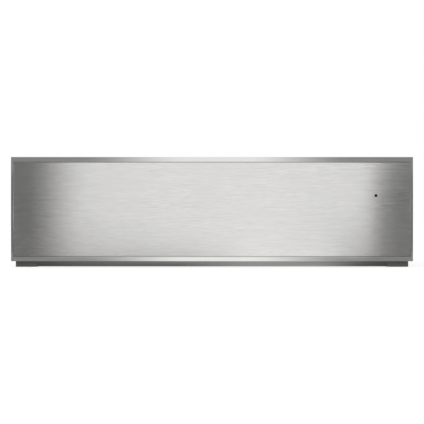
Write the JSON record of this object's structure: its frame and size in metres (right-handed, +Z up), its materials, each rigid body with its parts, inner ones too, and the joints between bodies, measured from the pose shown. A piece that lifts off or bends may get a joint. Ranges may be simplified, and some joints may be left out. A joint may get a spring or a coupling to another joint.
{
  "type": "warming drawer",
  "caption": "Wide flat built-in warming drawer with a plain brushed steel push-to-open front that hides its dial, a fan-blown heater and a full-extension drawer.",
  "frame": {"origin": "on the ground, under the middle of the whole part", "axes": "the front faces -Y, +X is to the right as the front is looked at, +Z is up"},
  "size_m": [0.752, 0.549, 0.206],
  "materials": {
    "satin_trim": "satin stainless steel bars, slightly darker than the panel",
    "brushed_front": "stainless steel brushed along its length",
    "board_core": "dark rigid foam board inside the front",
    "inner_steel": "plain matt stainless steel sheet",
    "smoked_lens": "dark smoked lens",
    "floor_glass": "dark tinted tempered glass",
    "silicone": "grey silicone rubber",
    "mat_rubber": "dark grey studded silicone rubber",
    "zinc_steel": "bright zinc-plated steel",
    "runner_steel": "zinc-plated steel runners",
    "cage_steel": "spring steel cage with hard steel balls",
    "zinc_sheet": "galvanised sheet steel",
    "dark_strip": "dark satin steel strip",
    "fascia_steel": "dark satin steel plate",
    "mineral_wool": "mineral wool boards",
    "heater_steel": "oxidised steel tube",
    "motor_steel": "laminated steel core, copper coil",
    "wheel_aluminium": "pressed aluminium",
    "dark_plastic": "black heat-proof plastic",
    "board_green": "green laminate with black and blue components",
    "knob_plastic": "satin black plastic",
    "clear_plastic": "clear plastic rod",
    "loom_sleeve": "braided glass fibre sleeve",
    "light_plastic": "white low-friction plastic",
    "spring_steel": "spring steel wire"
  },
  "bodies": {
    "carcass": {"base_plate": "zinc_sheet", "left_side_panel": "zinc_sheet", "right_side_panel": "zinc_sheet", "top_cover": "zinc_sheet", "rear_cover": "zinc_sheet", "base_strip": "dark_strip", "header_rail": "inner_steel", "left_fascia": "fascia_steel", "right_fascia": "fascia_steel", "left_liner": "inner_steel", "right_liner": "inner_steel", "ceiling_plate": "inner_steel", "back_wall": "inner_steel", "insulation": "mineral_wool", "fan_cover": "inner_steel", "heating_element": "heater_steel", "fan_motor": "motor_steel", "thermal_cutout": "dark_plastic", "temperature_probe": "zinc_steel", "control_box": "dark_plastic", "circuit_board": "board_green", "rotary_switch": "dark_plastic", "knob_bowl": "knob_plastic", "light_guide": "clear_plastic", "mains_inlet": "dark_plastic", "wiring_loom": "loom_sleeve", "latch_housing": "dark_plastic", "latch_spring": "spring_steel", "carcass_fixings": "zinc_steel", "closing_buffers": "silicone", "left_runner_outer": "runner_steel", "right_runner_outer": "runner_steel"},
    "drawer": {"front_frame": "satin_trim", "front_panel": "brushed_front", "front_core": "board_core", "front_inner_panel": "inner_steel", "indicator_lens": "smoked_lens", "drawer_floor": "inner_steel", "drawer_left_side": "inner_steel", "drawer_right_side": "inner_steel", "drawer_rear_wall": "inner_steel", "glass_floor": "floor_glass", "glass_pads": "silicone", "nonslip_mat": "mat_rubber", "drawer_fixings": "zinc_steel", "latch_striker": "zinc_steel", "left_runner_inner": "runner_steel", "right_runner_inner": "runner_steel"},
    "left_middle": {"left_runner_middle": "runner_steel"},
    "left_outer_cage": {"left_outer_ball_cage": "cage_steel"},
    "left_inner_cage": {"left_inner_ball_cage": "cage_steel"},
    "right_middle": {"right_runner_middle": "runner_steel"},
    "right_outer_cage": {"right_outer_ball_cage": "cage_steel"},
    "right_inner_cage": {"right_inner_ball_cage": "cage_steel"},
    "latch_carriage": {"latch_slider": "light_plastic"},
    "knob": {"control_knob": "knob_plastic", "switch_spindle": "zinc_steel"},
    "fan": {"fan_wheel": "wheel_aluminium", "fan_shaft": "zinc_steel"}
  },
  "joints": [
    {"name": "drawer_slide", "type": "slide", "parent": "carcass", "child": "drawer", "axis": [0, -1, 0], "range_m": [-0.0025, 0.43]},
    {"name": "left_middle_slide", "type": "slide", "parent": "carcass", "child": "left_middle", "axis": [0, -1, 0], "range_m": [-0.00125, 0.215]},
    {"name": "left_outer_cage_slide", "type": "slide", "parent": "carcass", "child": "left_outer_cage", "axis": [0, -1, 0], "range_m": [-0.00063, 0.1075]},
    {"name": "left_inner_cage_slide", "type": "slide", "parent": "carcass", "child": "left_inner_cage", "axis": [0, -1, 0], "range_m": [-0.00187, 0.3225]},
    {"name": "right_middle_slide", "type": "slide", "parent": "carcass", "child": "right_middle", "axis": [0, -1, 0], "range_m": [-0.00125, 0.215]},
    {"name": "right_outer_cage_slide", "type": "slide", "parent": "carcass", "child": "right_outer_cage", "axis": [0, -1, 0], "range_m": [-0.00063, 0.1075]},
    {"name": "right_inner_cage_slide", "type": "slide", "parent": "carcass", "child": "right_inner_cage", "axis": [0, -1, 0], "range_m": [-0.00187, 0.3225]},
    {"name": "latch_slide", "type": "slide", "parent": "carcass", "child": "latch_carriage", "axis": [0, -1, 0], "range_m": [-0.0001, 0.01], "deforming": ["latch_spring"]},
    {"name": "knob_turn", "type": "hinge", "parent": "carcass", "child": "knob", "pos_m": [0.3285, -0.2475, 0.092], "axis": [0, 1, 0], "range_deg": [0, 180]},
    {"name": "fan_spin", "type": "hinge", "parent": "carcass", "child": "fan", "pos_m": [0, 0.2225, 0.105], "axis": [0, 1, 0], "continuous": true}
  ],
  "couplings": [
    {"joint": "left_middle_slide", "follows": "drawer_slide", "ratio": 0.5},
    {"joint": "left_outer_cage_slide", "follows": "drawer_slide", "ratio": 0.25},
    {"joint": "left_inner_cage_slide", "follows": "drawer_slide", "ratio": 0.75},
    {"joint": "right_middle_slide", "follows": "drawer_slide", "ratio": 0.5},
    {"joint": "right_outer_cage_slide", "follows": "drawer_slide", "ratio": 0.25},
    {"joint": "right_inner_cage_slide", "follows": "drawer_slide", "ratio": 0.75},
    {"joint": "latch_slide", "follows": "drawer_slide", "ratio": 0.023255}
  ]
}
